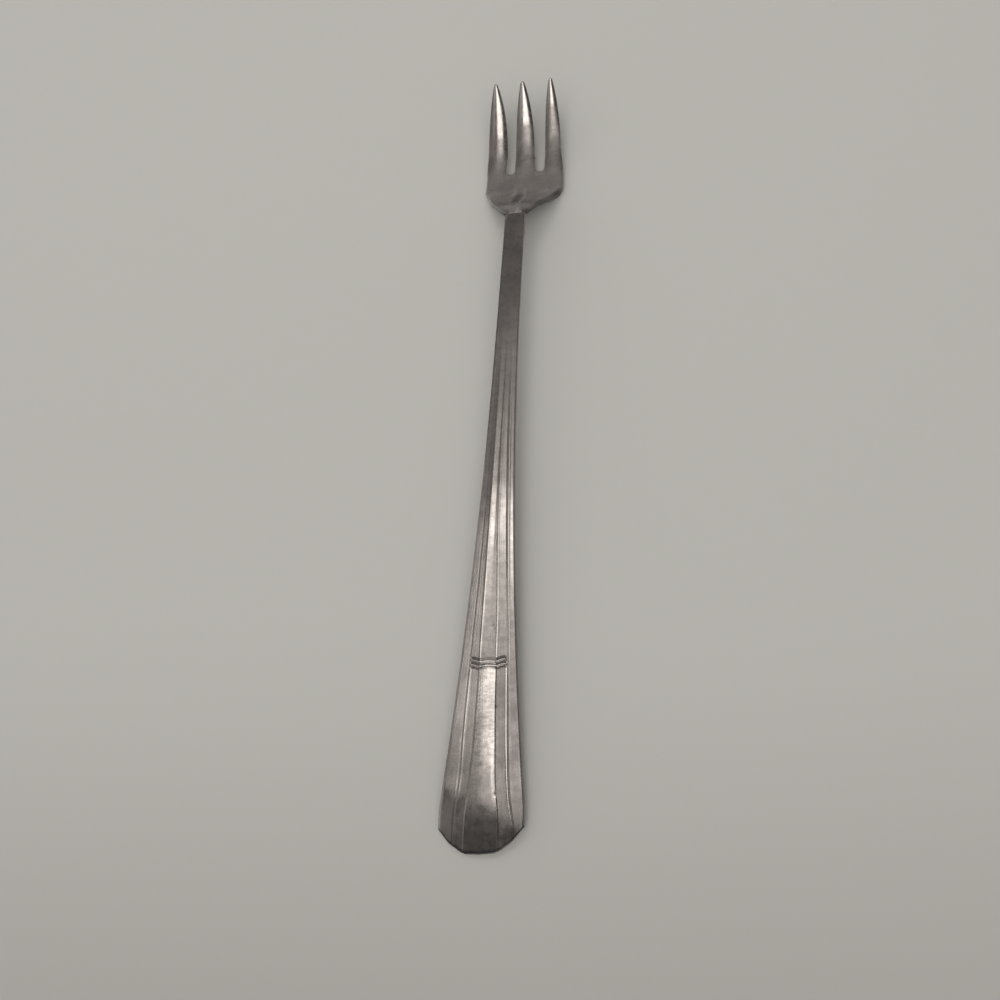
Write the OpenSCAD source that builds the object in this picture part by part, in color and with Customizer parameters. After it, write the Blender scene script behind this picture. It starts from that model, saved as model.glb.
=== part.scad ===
// Oyster fork: a three-tined head lapped and brazed under the end of a fluted handle.
// The fork lies face up. X runs across it, Y from the grip end to the tine tips and Z up.
// The origin is under the middle of the fork, on the surface that it rests on.
// Places along the fork, called s, are measured from the grip end.

/* [Handle] */
// Length of the handle, from the grip end to the end face of the stem
handle_l = 118.5; // [105:0.5:135]
// Greatest width of the grip
grip_w = 12.5; // [10:0.1:15]
// Width of the stem at the head
stem_w = 3.8; // [3.4:0.1:4.4]
// Length at the grip end that keeps its full width
grip_parallel_l = 6.2; // [5:0.1:9]
// Length of each clipped corner, measured along the fork
corner_l = 3.7; // [2:0.1:4.5]
// Height of the top face at the end of the stem
neck_h = 7.3; // [6:0.1:9]
// Thickness of the metal at the grip end, which rests on the table
end_t = 1.35; // [1.2:0.05:1.8]
// Thickness of the metal at the end of the stem, tang included
stem_t = 2.1; // [1.9:0.05:2.6]
// Rise of the underside at its long edges
belly_h = 0.4; // [0.1:0.05:0.7]
// Distance that the underside's edges stand in from the top's
inset_w = 0.35; // [0.1:0.05:0.45]
// Depth of the flats under the grip end and under the head, where the fork rests
flat_h = 0.25; // [0.15:0.05:0.3]

/* [Flutes] */
// Crown of the centre panel above the bands
panel_h = 0.36; // [0.1:0.02:0.5]
// Height of the ridges that edge the centre panel
ridge_h = 0.26; // [0.1:0.02:0.4]
// Half the width of a ridge at its foot
ridge_w = 0.16; // [0.1:0.01:0.2]
// Crown of the bands between the centre panel and the outer grooves
band_h = 0.12; // [0.04:0.02:0.2]
// Depth of the outer grooves
groove_h = 0.16; // [0.05:0.01:0.25]
// Half the width of an outer groove
groove_w = 0.16; // [0.1:0.01:0.2]
// Width of the bevel along each long edge
bevel_w = 0.34; // [0.2:0.02:0.44]
// Drop of the bevel along each long edge
bevel_h = 0.4; // [0.1:0.02:0.5]
// Place where the flutes start to fade
fade_s = 52; // [35:1:60]
// Length over which the flutes fade into the plain stem
fade_l = 44; // [20:1:45]
// Place of the cross band, at its side nearest the grip end
cross_s = 27.2; // [22:0.1:32]
// Distance from one bar of the cross band to the next
cross_pitch = 0.8; // [0.6:0.05:1.1]
// Height of the bars of the cross band and depth of its grooves
cross_h = 0.13; // [0.04:0.01:0.2]

/* [Lap joint] */
// Length of the tang under the stem
tang_l = 4.1; // [3:0.1:6]
// Thickness of the stem above the tang
lap_t = 0.95; // [0.7:0.05:1.2]
// Clearance between the end of the tang and the shoulder cut in the stem
lap_gap = 0.05; // [0.03:0.01:0.1]
// Width of the bevels at the end of the stem
nose_bevel_w = 0.6; // [0.4:0.05:0.8]
// Width of the brazing bead
bead_w = 2.6; // [1.8:0.1:2.8]
// Length of the flat floor under the bead
bead_floor_l = 0.4; // [0.2:0.05:0.6]
// Length of the slope that the bead laps on the head
bead_slope_l = 1.2; // [0.8:0.1:1.6]
// Thickness of the bead at its free edge
bead_edge_t = 0.14; // [0.08:0.02:0.2]
// Height of the bead's crown above the line between its two ends
bead_crown_h = 0.16; // [0.05:0.01:0.25]

/* [Head] */
// Length of the head beyond the stem, to the tine tips
head_l = 35.4; // [32:0.1:40]
// Distance from the end of the stem to the shoulder corners
shoulder_l = 12.2; // [10:0.1:14]
// Width across the shoulder corners
shoulder_w = 15.1; // [13:0.1:17]
// Distance from the end of the stem to the bottom of the slots
root_l = 16.6; // [15.5:0.1:19]
// Corner radius at the bottom of the slots
root_r = 0.85; // [0.5:0.05:1]
// Width of the middle tine at its root
mid_tine_w = 3.85; // [3.2:0.05:4]
// Width of each outer tine at its root
outer_tine_w = 3.55; // [3:0.05:3.8]
// Width across the outer tines at their roots
root_span_w = 14.8; // [14:0.02:16]
// Distance between the points of the outer tines
tip_span_w = 10.86; // [9:0.02:12]
// Width of a tine at its point
tip_w = 0.7; // [0.3:0.05:0.9]
// Thickness of the head at the shoulders, where it rests on the table
head_t = 1.5; // [1.4:0.05:2]
// Thickness of a tine at its root
tine_t = 1.35; // [1.1:0.05:1.5]
// Thickness of a tine at its point
tip_t = 0.6; // [0.4:0.05:0.9]
// Height of the tine points above the lowest part of the top face
tip_rise = 7; // [5:0.1:9]
// Length of the drop from the neck to the shoulders
drop_l = 13.2; // [11:0.1:14]
// Depth of the shoulders' hollow across the head
dish_h = 0.12; // [0:0.02:0.2]
// Drop of a tine's long edges below its crest
tine_crown_h = 0.38; // [0.1:0.02:0.45]

/* [Hidden] */

fork_l = handle_l + head_l;
shoulder_s = handle_l + shoulder_l;
tang_s = handle_l - tang_l;
lap_h = neck_h - lap_t;
seat_s = handle_l + bead_floor_l + bead_slope_l;
flare_s = handle_l + bead_floor_l;
root_s = handle_l + root_l + root_r;
outer_tine_x = (root_span_w - outer_tine_w) / 2;

// The steel is a warm grey, and the braze a little paler
steel_colour = [0.52, 0.49, 0.47];
braze_colour = [0.62, 0.60, 0.57];

// The grip widens towards its end, fastest near the end
flare_power = 2.55;
// The base of the head widens fastest beside the neck
base_power = 0.72;
// The tines keep their width and narrow late
tine_power = 3.3;
// The tines curl up slowly at first
rise_power = 1.6;

// Outline of the grip end: share of the half-width, share of the corner length
end_shares = [[0, 0], [0.33, 0.03], [0.45, 0.12], [0.74, 0.47], [1, 1]];
// Outer grooves: share of the handle's length, share of the half-width
groove_shares = [[0, 0.74], [0.045, 0.66], [0.065, 0.61], [0.12, 0.58], [0.2, 0.63], [0.3, 0.68],
                 [0.38, 0.67], [0.48, 0.63], [1, 0.62]];
// Edges of the centre panel: share of the handle's length, share of the half-width
panel_shares = [[0, 0.46], [0.035, 0.42], [0.1, 0.29], [0.13, 0.24], [0.22, 0.24], [0.25, 0.29],
                [0.38, 0.29], [0.48, 0.24], [1, 0.24]];
// Sideways places of the grid lines on a tine and across a slot, as shares of the half-width
tine_shares = [-1, -0.6, 0, 0.6, 1];
slot_shares = [-0.8, 0, 0.8];

// Value at x of the broken line through the points
function along(points, x) =
    let (last = len(points) - 1, at = min(max(x, points[0][0]), points[last][0]))
    let (k = min([for (i = [1:last]) if (points[i][0] >= at) i]))
    let (a = points[k - 1], b = points[k])
    a[1] + (b[1] - a[1]) * (at - a[0]) / (b[0] - a[0]);

// Share of the way from a to b, kept from 0 to 1
function way(x, a, b) = min(max((x - a) / (b - a), 0), 1);
// The same share, with a soft start and a soft end
function ease(x, a, b) = let (t = way(x, a, b)) t * t * (3 - 2 * t);
// Evenly spaced places from a up to b, without b itself
function spread(a, b, count) = [for (i = [0:count - 1]) a + (b - a) * i / count];

// Height of the handle's top face along its middle, as a quarter of a wave
function arch_h(s) = end_t + (neck_h - end_t) * sin(90 * way(s, 0, handle_l));
// Half the width of the handle
function handle_x(s) =
    let (flare = pow(1 - way(s, grip_parallel_l, handle_l), flare_power))
    (stem_w + (grip_w - stem_w) * flare) / 2;
// Thickness of the handle with the tang, before the flat is cut under the grip end
function handle_t(s) =
    let (uncut_t = end_t + flat_h)
    uncut_t + (stem_t - uncut_t) * sin(90 * way(s, 0, handle_l / 2));
// Height of the fork's underside below the stem
function stem_under_h(s) = arch_h(s) - handle_t(s);
// Strength of the flutes, from 1 on the grip to 0 on the plain stem
function flute_share(s) = 1 - ease(s, fade_s, fade_s + fade_l);

// Height that the cross band adds: three grooves with two bars between them
function cross_band_h(s) =
    let (at = (s - cross_s) / cross_pitch)
    at <= 0 || at >= 3 ? 0 : -cross_h * cos(360 * (at - 0.5));

// One side of the handle's top face, from the middle to the edge: [distance from the middle, height]
function handle_side(s) =
    let (w = handle_x(s), f = flute_share(s), cross = cross_band_h(s))
    let (panel = w * along(panel_shares, s / handle_l))
    let (groove = w * along(groove_shares, s / handle_l))
    let (nose = ease(s, tang_s, handle_l))
    let (edge_w = bevel_w + (nose_bevel_w - bevel_w) * nose)
    let (edge_x = w - edge_w, out_x = min(groove + groove_w, edge_x - lap_gap))
    [
        [0, f * panel_h + cross],
        [panel * 0.55, f * panel_h * 0.85 + cross],
        [panel - ridge_w, f * ridge_h * 0.8 + cross],
        [panel, f * ridge_h + cross],
        [panel + ridge_w, cross],
        [(panel + ridge_w + groove - groove_w) / 2, f * band_h + cross],
        [groove - groove_w, f * band_h / 2],
        [groove, -f * groove_h],
        [out_x, f * band_h / 2],
        [(out_x + edge_x) / 2, 0],
        [edge_x, -bevel_h / 8],
        [w, -bevel_h],
    ];

// A whole row from its right side: the left side is its mirror image
function mirror_row(side) =
    let (last = len(side) - 1)
    concat([for (i = [last:-1:1]) [-side[i][0], side[i][1]]], side);

// Solid between two grids of points, top and bottom, with only the filled cells.
// Rows run along Y and columns along X.
module grid_solid(top, bottom, filled) {
    rows = len(top);
    cols = len(top[0]);
    function t(i, j) = i * cols + j;
    function b(i, j) = (rows + i) * cols + j;
    function on(i, j) = i >= 0 && j >= 0 && i < rows - 1 && j < cols - 1 && filled[i][j];
    function quad(p, q, r, s) = [[p, q, r], [p, r, s]];
    points = concat([for (row = top) each row], [for (row = bottom) each row]);
    faces = [
        for (i = [0:rows - 2]) for (j = [0:cols - 2]) if (on(i, j)) each concat(
            quad(t(i, j), t(i + 1, j), t(i + 1, j + 1), t(i, j + 1)),
            quad(b(i, j), b(i, j + 1), b(i + 1, j + 1), b(i + 1, j)),
            on(i - 1, j) ? [] : quad(b(i, j), t(i, j), t(i, j + 1), b(i, j + 1)),
            on(i + 1, j) ? [] : quad(b(i + 1, j + 1), t(i + 1, j + 1), t(i + 1, j), b(i + 1, j)),
            on(i, j - 1) ? [] : quad(b(i + 1, j), t(i + 1, j), t(i, j), b(i, j)),
            on(i, j + 1) ? [] : quad(b(i, j + 1), t(i, j + 1), t(i + 1, j + 1), b(i + 1, j + 1))
        )
    ];
    polyhedron(points, faces);
}

// A table of true values for a grid with no empty cells
function all_filled(rows, cols) = [for (i = [0:rows - 2]) [for (j = [0:cols - 2]) true]];

// Rows of the handle: the grip end, the cross band, the stem and the lap
cross_end_s = cross_s + 3 * cross_pitch;
handle_rows = concat(
    spread(0, grip_parallel_l, 5),
    spread(grip_parallel_l, cross_s, 8),
    spread(cross_s, cross_end_s, 12),
    spread(cross_end_s, tang_s - lap_gap, 22),
    [tang_s - lap_gap],
    spread(tang_s, handle_l, 3),
    [handle_l]
);

// The rows bend round the outline of the grip end and straighten by the end of the parallel length
function end_s(s, share) =
    s + corner_l * along(end_shares, abs(share)) * (1 - way(s, 0, 2 * grip_parallel_l));

// From 0 on the handle to 1 where its underside is flat across, at the lap
function lap_share(s) = ease(s, tang_s - tang_l, tang_s - lap_gap);

// Underside of the handle: it touches the table near the grip end, and is cut away over the tang
function handle_under(s, share) =
    s >= tang_s ? lap_h : max(0, stem_under_h(s) + belly_h * (1 - lap_share(s)) * pow(share, 2));

module handle() {
    rows = [for (s = handle_rows) mirror_row(handle_side(s))];
    count = len(handle_rows);
    cols = len(rows[0]);
    top = [for (i = [0:count - 1]) let (s = handle_rows[i], w = handle_x(s)) [for (point = rows[i])
        let (place = end_s(s, point[0] / w))
        [point[0], place, arch_h(place) + point[1]]]];
    bottom = [for (i = [0:count - 1]) let (s = handle_rows[i], w = handle_x(s)) [for (point = rows[i])
        let (share = point[0] / w, inset = s < tang_s ? inset_w : 0)
        let (place = end_s(s, share) + inset * (1 - way(s, 0, grip_parallel_l)))
        [(w - inset) * share, place, handle_under(place, share)]]];
    color(steel_colour)
        translate([0, -fork_l / 2, 0])
        grid_solid(top, bottom, all_filled(count, cols));
}

// Top of the head along its middle: it drops from the neck, rests, and rises to the tips
function head_h(s) =
    s <= handle_l + bead_floor_l ? lap_h :
    let (drop = ease(s, handle_l, handle_l + drop_l))
    let (rise = pow(way(s, handle_l + drop_l, fork_l), rise_power))
    head_t + (neck_h - head_t) * (1 - drop) + tip_rise * rise;

// Underside of the head, with the flat that it rests on
function head_under_h(s) =
    let (tang_t = stem_t - lap_t, uncut_t = head_t + flat_h)
    let (base_t = tang_t + (uncut_t - tang_t) * ease(s, handle_l, shoulder_s))
    let (tine = tine_t + (tip_t - tine_t) * way(s, root_s, fork_l))
    let (t = base_t + (tine - base_t) * ease(s, shoulder_s, root_s + root_l / 3))
    s <= handle_l ? stem_under_h(s) : max(0, head_h(s) - t);

// Half the width of the tang and of the base of the head
function base_x(s) =
    s <= handle_l ? handle_x(s) :
    s <= shoulder_s ? (stem_w + (shoulder_w - stem_w) * pow(way(s, flare_s, shoulder_s), base_power)) / 2 :
    (shoulder_w + (root_span_w - shoulder_w) * way(s, shoulder_s, root_s)) / 2;

// Sideways place of a grid line on a tine: side is -1, 0 or 1, and the inset narrows the tine
function tine_x(s, side, share, inset) =
    let (t = way(s, root_s, fork_l))
    let (w = side == 0 ? mid_tine_w : outer_tine_w)
    let (half = (w + (tip_w - w) * pow(t, tine_power)) * (1 / 2 - inset / w))
    side * (outer_tine_x + (tip_span_w / 2 - outer_tine_x) * t) + half * share;

// The grid lines across the head, from the left: [side of the tine or slot, share, is it on a tine]
head_lines = concat(
    [for (u = tine_shares) [-1, u, true]],
    [for (u = slot_shares) [-1, u, false]],
    [for (u = tine_shares) [0, u, true]],
    [for (u = slot_shares) [1, u, false]],
    [for (u = tine_shares) [1, u, true]]
);

// Place of a slot's grid line across the head, at the roots
slot_in_x = mid_tine_w / 2;
slot_out_x = outer_tine_x - outer_tine_w / 2;
slot_half_w = (slot_out_x - slot_in_x) / 2;
function root_x(line, inset) =
    line[2] ? tine_x(root_s, line[0], line[1], inset) :
    line[0] * (slot_in_x + slot_out_x) / 2 + line[1] * (slot_half_w + inset);

// The slots' ends are flat with round corners
function root_end_s(line, inset) =
    let (beyond = max(0, slot_half_w * abs(line[1]) - slot_half_w + root_r))
    line[2] ? root_s : root_s - inset - sqrt(pow(root_r, 2) - pow(beyond, 2));
// The points of the tines are rounded
function tip_end_s(line, inset) = fork_l - inset - tip_w * (1 - sqrt(1 - pow(line[1], 2) / 2));

base_rows = concat(
    spread(tang_s, handle_l, 3),
    [handle_l],
    spread(handle_l + bead_floor_l, seat_s, 3),
    spread(seat_s, shoulder_s, 9),
    [shoulder_s]
);
root_steps = 4;
tine_steps = 16;

// One row of places: [distance across, place along, share of the way down a tine's crown].
// The inset is zero for the top face.
function head_row(i, inset) =
    let (base = len(base_rows), outer_x = root_span_w / 2 - inset)
    i < base ? [for (line = head_lines)
        [(base_x(base_rows[i]) - inset) * root_x(line, inset) / outer_x, base_rows[i], 0]] :
    i < base + root_steps ? let (k = (i - base + 1) / root_steps) [for (line = head_lines)
        let (s = shoulder_s + (root_end_s(line, inset) - shoulder_s) * k)
        [(base_x(s) - inset) * root_x(line, inset) / outer_x, s, k * k * (line[2] ? pow(line[1], 2) : 1)]] :
    let (k = (i - base - root_steps + 1) / tine_steps) [for (line = head_lines)
        let (s = root_s + (tip_end_s(line, inset) - root_s) * k)
        [line[2] ? tine_x(s, line[0], line[1], inset) : root_x(line, inset), s, pow(line[1], 2)]];

// The crown falls away to a tine's long edges, and the base is a little hollow
function head_top(place) =
    let (s = place[1])
    let (crown = tine_crown_h * min(1, (head_h(s) - head_under_h(s)) / tine_t) * place[2])
    let (hollow = dish_h * ease(s, seat_s, shoulder_s) * (1 - way(s, shoulder_s, root_s)))
    head_h(s) - crown - hollow * (1 - pow(place[0] / base_x(s), 2));

module tine_head() {
    count = len(base_rows) + root_steps + tine_steps;
    cols = len(head_lines);
    top = [for (i = [0:count - 1]) [for (p = head_row(i, 0)) [p[0], p[1], head_top(p)]]];
    bottom = [for (i = [0:count - 1]) [for (p = head_row(i, inset_w)) [p[0], p[1], head_under_h(p[1])]]];
    filled = [for (i = [0:count - 2]) [for (j = [0:cols - 2])
        i < len(base_rows) + root_steps - 1 || (head_lines[j][2] && head_lines[j + 1][2])]];
    color(steel_colour)
        translate([0, -fork_l / 2, 0])
        grid_solid(top, bottom, filled);
}

// The bead fills the corner between the end of the stem and the slope of the head
bead_rows = concat([handle_l], spread(handle_l + bead_floor_l, seat_s, 3), [seat_s]);
bead_shares = [-1, -0.6, 0, 0.6, 1];

module neck_braze() {
    start_h = neck_h - bevel_h;
    finish_h = head_h(seat_s) + bead_edge_t;
    function bead_h(s, share) =
        let (t = way(s, handle_l, seat_s))
        let (level = start_h + (finish_h - start_h) * t + bead_crown_h * sin(180 * t))
        max(level - bead_edge_t * pow(share, 2), head_h(s) + bead_edge_t / 2);
    top = [for (s = bead_rows) [for (u = bead_shares) [u * bead_w / 2, s, bead_h(s, u)]]];
    bottom = [for (s = bead_rows) [for (u = bead_shares) [u * bead_w / 2, s, head_h(s)]]];
    color(braze_colour)
        translate([0, -fork_l / 2, 0])
        grid_solid(top, bottom, all_filled(len(bead_rows), len(bead_shares)));
}

handle();
tine_head();
neck_braze();
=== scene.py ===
import math
from collections import namedtuple
from types import SimpleNamespace

import bpy
import numpy as np
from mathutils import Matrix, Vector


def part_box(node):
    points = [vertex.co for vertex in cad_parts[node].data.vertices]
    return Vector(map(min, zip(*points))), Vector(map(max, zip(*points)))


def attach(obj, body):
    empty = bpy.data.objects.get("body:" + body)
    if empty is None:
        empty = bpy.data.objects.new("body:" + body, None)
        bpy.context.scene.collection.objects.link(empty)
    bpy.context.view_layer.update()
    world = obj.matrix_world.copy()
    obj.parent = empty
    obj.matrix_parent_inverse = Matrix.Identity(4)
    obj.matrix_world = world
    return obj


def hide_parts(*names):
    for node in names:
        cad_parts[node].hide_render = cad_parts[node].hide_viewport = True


# The oyster fork lies face up on a plain pale table. Lengths are in millimetres, as in the part's source,
# and become metres when a mesh is made. s is the distance from the grip end, and x from the middle line.
# A span is a stretch over which something comes in or goes. Of two values for the two sides, the left one
# comes first.
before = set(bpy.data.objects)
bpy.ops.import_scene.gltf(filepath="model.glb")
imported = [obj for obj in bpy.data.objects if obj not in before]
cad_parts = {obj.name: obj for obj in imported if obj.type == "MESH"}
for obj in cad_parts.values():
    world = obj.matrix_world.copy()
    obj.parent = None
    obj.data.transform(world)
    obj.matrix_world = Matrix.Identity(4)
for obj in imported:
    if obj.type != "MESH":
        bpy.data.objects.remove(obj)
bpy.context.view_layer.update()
MM = 0.001

# Places and sizes read from the frame
handle_lo, handle_hi = [corner / MM for corner in map(np.array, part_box("handle"))]
head_lo, head_hi = [corner / MM for corner in map(np.array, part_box("tine_head"))]
START_Y = handle_lo[1]
HANDLE_L = handle_hi[1] - handle_lo[1]
FORK_L = head_hi[1] - handle_lo[1]
GRIP_W = handle_hi[0] - handle_lo[0]
TANG_S = head_lo[1] - START_Y
SHOULDER_W = head_hi[0] - head_lo[0]

# Handle: its outline, its thickness and its underside
STEM_W = 3.8
GRIP_PARALLEL_L = 6.2
FLARE_POWER = 2.55
END_T = 1.35
NECK_H = 7.3
STEM_T = 2.1
BELLY_H = 0.4
INSET_W = 0.35
FLAT_H = 0.25
# Clipped corners of the grip end: how far back they reach, and shares of that by share of the half width
CORNER_L = 3.7
CORNER_SHARES = [(0, 0), (0.33, 0.03), (0.45, 0.12), (0.74, 0.47), (1, 1)]

# Lap joint: the stem's end lies on the head, with a bead of braze in the corner
LAP_T = 0.95
LAP_H = NECK_H - LAP_T
LAP_GAP = 0.05
BEAD_W = 2.6
BEAD_FLOOR_L = 0.4
BEAD_SLOPE_L = 1.2
SEAT_S = HANDLE_L + BEAD_FLOOR_L + BEAD_SLOPE_L
JOINT_L = 0.03

# Lines of the struck pattern: place along, and distance from the middle line as a share of the half width
GROOVE_LEFT_SHARES = [
    (0, 0.66), (5, 0.64), (8, 0.61), (12, 0.60), (16, 0.635), (20, 0.655), (27, 0.665), (35, 0.655),
    (45, 0.645), (65, 0.64), (120, 0.6)]
GROOVE_RIGHT_SHARES = [
    (0, 0.82), (2.5, 0.79), (3.5, 0.755), (5, 0.71), (6, 0.675), (8, 0.65), (10, 0.64), (15, 0.635),
    (20, 0.645), (27, 0.66), (35, 0.655), (45, 0.625), (55, 0.58), (65, 0.525), (75, 0.475), (120, 0.42)]
PANEL_LEFT_SHARES = [
    (0, 0.39), (3, 0.39), (5, 0.375), (8, 0.34), (10, 0.32), (12, 0.30), (15, 0.285), (27, 0.285),
    (30, 0.32), (50, 0.32), (60, 0.34), (120, 0.36)]
PANEL_RIGHT_SHARES = [
    (0, 0.42), (3, 0.40), (5, 0.37), (8, 0.33), (10, 0.30), (15, 0.28), (24, 0.255), (30, 0.265),
    (36, 0.275), (42, 0.235), (50, 0.165), (60, 0.115), (80, 0.09), (120, 0.07)]
# These tables are rounded over this length, with this many samples
ROUNDED_L = 3
ROUNDED_SAMPLES = 9

WAVE_COUNT = 10
WAVE_LENGTH_SHARES = (0.6, 1.8)


def way(x, a, b):
    """Share of the way from a to b, kept from 0 to 1."""
    return np.clip((x - a) / (b - a), 0, 1)


def ease(x, a, b):
    """The same share, with a soft start and a soft end."""
    t = way(x, a, b)
    return t * t * (3 - 2 * t)


def past(x, span):
    """From 0 before the span to 1 past it."""
    return ease(x, *span)


def until(x, span):
    """From 1 before the span to 0 past it."""
    return 1 - ease(x, *span)


def between(a, b, share):
    """The value that lies this share of the way from a to b."""
    return a + (b - a) * share


def by_side(x, left, right):
    """The left value on the left of the middle line, and the right one elsewhere."""
    return np.where(x < 0, left, right)


def along(points, x):
    """Value at x of the broken line through the points."""
    xs, ys = zip(*points)
    return np.interp(x, xs, ys)


def along_side(x, left, right, s):
    """Value at s of the left or the right broken line, by the side that x is on."""
    return by_side(x, along(left, s), along(right, s))


def rounded_along(points, s):
    """The same value, with the line's corners rounded."""
    offsets = np.linspace(-ROUNDED_L / 2, ROUNDED_L / 2, ROUNDED_SAMPLES)
    return np.mean([along(points, s + offset) for offset in offsets], axis=0)


def hill(x, centre, width):
    """A round hill of height 1."""
    return np.exp(-((x - centre) / width) ** 2)


def waves(x, s, seed, size):
    """Smooth uneven waves, mostly from -1 to 1, about as long as the size given."""
    rng = np.random.default_rng(seed)
    total = np.zeros_like(x)
    for _ in range(WAVE_COUNT):
        angle, phase = rng.uniform(0, 2 * math.pi, 2).tolist()
        k = 2 * math.pi / (size * rng.uniform(*WAVE_LENGTH_SHARES))
        total = total + np.sin(k * (x * math.cos(angle) + s * math.sin(angle)) + phase)
    return 2 * total / WAVE_COUNT


def uneven_h(x, s, layers):
    """Height of several layers of waves, each given by its height, seed and size."""
    return sum(height * waves(x, s, seed, size) for height, seed, size in layers)


def arch_h(s):
    """Height of the handle's upper face, before its pattern."""
    return between(END_T, NECK_H, np.sin(math.pi / 2 * way(s, 0, HANDLE_L)))


def handle_x(s):
    """Half width of the handle."""
    flare = (1 - way(s, GRIP_PARALLEL_L, HANDLE_L)) ** FLARE_POWER
    return between(STEM_W, GRIP_W, flare) / 2


def stem_under_h(s):
    """Height of the handle's underside on the middle line, where it isn't cut flat."""
    uncut_t = END_T + FLAT_H
    return arch_h(s) - between(uncut_t, STEM_T, np.sin(math.pi / 2 * way(s, 0, HANDLE_L / 2)))


def lap_share(s):
    """From 0 on the plain stem to 1 where its underside has become flat for the lap."""
    return ease(s, TANG_S - (HANDLE_L - TANG_S), TANG_S - LAP_GAP)


def end_s(s, share):
    """Place along of a point of the handle's mesh: near the grip end its rows follow the clipped corners."""
    return s + CORNER_L * along(CORNER_SHARES, np.abs(share)) * (1 - way(s, 0, 2 * GRIP_PARALLEL_L))


# Cross band: its middle, pitch, reach each way and depth, and how far its lines wander by share of the half
# width
CROSS_S = 28.2
CROSS_PITCH = 0.75
CROSS_REACH_PITCHES = 1.25
CROSS_H = 0.05
CROSS_WANDER = [
    (-0.7, 0.28), (-0.6, 0.25), (-0.5, 0.17), (-0.4, 0), (-0.33, -0.1), (-0.25, -0.05), (-0.1, 0.05),
    (0.05, 0.05), (0.2, -0.05), (0.27, -0.1), (0.35, 0), (0.45, 0.2), (0.55, 0.28), (0.65, -0.05)]
# It is weaker on the panel and ends before the groove, by spans from those two lines
CROSS_PANEL_SHARE = 0.4
CROSS_PANEL_SPAN = (-0.2, 0.3)
CROSS_END_SPAN = (-0.3, -0.1)


def cross_band(x, s):
    """From -1 in the three grooves of the cross band to 1 on its two bars."""
    middle = CROSS_S + along(CROSS_WANDER, x / handle_x(s))
    at = (s - middle) / CROSS_PITCH
    return np.where(np.abs(at) < CROSS_REACH_PITCHES, -np.cos(2 * math.pi * at), 0)


# Less than 1, so that a rounded edge isn't upright at its foot
EDGE_RUN_SHARE = 0.96


def edge_drop(distance, width, depth):
    """A rounded edge: nothing at its full width in from the edge, most of the depth at the edge."""
    t = np.clip(1 - distance / width, 0, 1)
    return -depth * (1 - np.sqrt(np.clip(1 - t ** 2 * EDGE_RUN_SHARE, 0, 1)))


def pattern_lines(s, left):
    """Distance from the middle to the panel's edge and to the groove, on the left or on the right."""
    w = handle_x(s)
    panel = w * np.where(left, rounded_along(PANEL_LEFT_SHARES, s), rounded_along(PANEL_RIGHT_SHARES, s))
    groove = w * np.where(left, rounded_along(GROOVE_LEFT_SHARES, s), rounded_along(GROOVE_RIGHT_SHARES, s))
    return panel, groove


# Widths of the pattern's lines and of the fine lines in its bands
LINE_W = 0.13
FINE_LINE_W = LINE_W * 0.6
FINE_LINE_H = 0.003
FINE_LINE_SHARES = (0.38, 0.6)
LEAST_BAND_W = 0.2
# Where the pattern fades, where the section eases into the stem's, and where the rolled end is past
FADE_SPAN = (64, 96)
STEM_SPAN = (55, 100)
PAST_ROLL_SPAN = (5, 9)
# How far a section falls from its middle to its edges, on the grip and on the stem
GRIP_CROWN_H = 0.1
STEM_CROWN_H = 0.04
# The panel's edge is soft this far inwards and outwards. Below the cross band the panel stands proud
PANEL_EDGE_IN_W = 0.06
PANEL_EDGE_OUT_W = (0.2, 0.3)
PANEL_STEP_H = 0.05
PANEL_CROWN_H = 0.035
# Ridge along the panel's edge, and what it loses below the cross band and, on each side, further up
PANEL_RIDGE_H = 0.02
PANEL_RIDGE_IN_W = 0.02
PANEL_RIDGE_LOWER_LOSS_SHARE = 0.85
PANEL_RIDGE_LOSS_SHARES = (0.8, 0.5)
PANEL_RIDGE_LOSS_SPAN = (56, 60)
# Ridge on the inner side of the groove, with its slopes as spans from the groove, and the one outside it
RIDGE_H = 0.02
RIDGE_RISE_SPAN = (-0.4, -0.25)
RIDGE_FALL_SPAN = (-0.12, -0.02)
RIDGE_LEFT_SHARE = 0.35
RIDGE_RIGHT_SPAN = (1, 3)
RIDGE_START_SPAN = (1, 8)
OUTER_RIDGE_OUT_W = 0.28
OUTER_RIDGE_LOWER_SHARE = 0.3
# Grooves: how deep and dark they are, the least of that, and what each loses in depth further up
GROOVE_H = 0.045
DEEP_LEFT_SHARES = [(0, 0), (6, 0), (12, 0.2), (27, 0.3), (31, 0.45), (120, 0.4)]
DEEP_RIGHT_SHARES = [
    (0, 0.3), (20, 0.3), (27, 0.15), (31, 0.1), (37, 0.25), (42, 0.4), (48, 0.7), (56, 0.75), (60, 0.6),
    (120, 0.7)]
LEAST_DEEP_SHARE = 0.15
GROOVE_LOSS_SHARES = (0.8, 0.25)
GROOVE_LOSS_SPANS = ((14, 20), (41, 47))
# Shallow valley in the upper panel: its depth, its bottom and its left side's width as shares of the half
# width, the least width of its right side, and how round its bottom is
VALLEY_H = [(28, 0), (32, 0.03), (42, 0.035), (48, 0.055), (120, 0.05)]
VALLEY_SHARES = [(28, -0.02), (40, -0.05), (47, -0.09), (57, -0.09), (66, -0.05), (80, 0), (120, 0.03)]
VALLEY_LEFT_SHARE = 0.33
VALLEY_LEAST_W = 0.15
VALLEY_ROUND_SHARE = 0.2
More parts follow.
